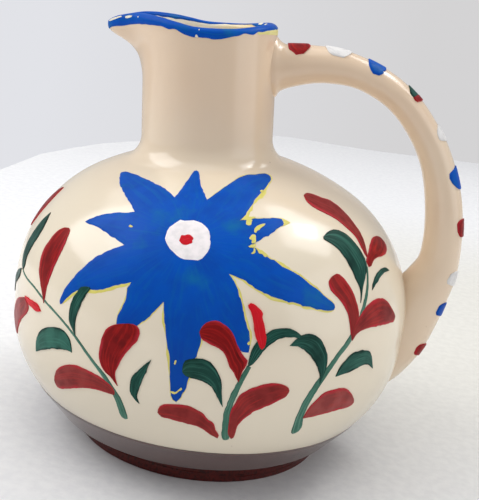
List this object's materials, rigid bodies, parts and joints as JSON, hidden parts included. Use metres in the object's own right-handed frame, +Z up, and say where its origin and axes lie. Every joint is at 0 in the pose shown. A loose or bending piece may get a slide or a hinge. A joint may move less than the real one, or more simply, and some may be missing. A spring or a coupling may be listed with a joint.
{
  "type": "pouring jug",
  "caption": "Round-bellied glazed ceramic jug with a short leaning neck, a pulled pouring lip, a hollow loop handle, a brown foot and brush-painted flower and leaf sprigs.",
  "frame": {"origin": "centre of the foot ring, on the plane the jug stands on", "axes": "+Z up along the belly's axis, +X towards the handle, so the pouring lip points to -X; -Y is the painted front"},
  "size_m": [0.1777, 0.1606, 0.1701],
  "materials": {
    "cream_glaze": "gloss",
    "brown_ware": "gloss",
    "brown_glaze": "gloss",
    "blue_enamel": "satin",
    "yellow_enamel": "satin",
    "white_enamel": "satin",
    "red_enamel": "satin",
    "green_enamel": "satin"
  },
  "bodies": {
    "root": {"foot_ring": "brown_ware", "belly_bowl": "cream_glaze", "shoulder_dome": "cream_glaze", "neck": "cream_glaze", "pouring_lip": "cream_glaze", "handle_tube": "cream_glaze", "upper_handle_luting": "cream_glaze", "lower_handle_luting": "cream_glaze", "brown_dip": "brown_glaze", "rim_enamel": "blue_enamel", "star_undercoat": "yellow_enamel", "star_petals": "blue_enamel", "star_eye": "white_enamel", "star_pip": "red_enamel", "red_leaves": "red_enamel", "green_leaves": "green_enamel", "leaf_stems": "green_enamel", "handle_spots_red": "red_enamel", "handle_spots_white": "white_enamel", "handle_spots_blue": "blue_enamel", "handle_spots_green": "green_enamel"}
  },
  "joints": []
}
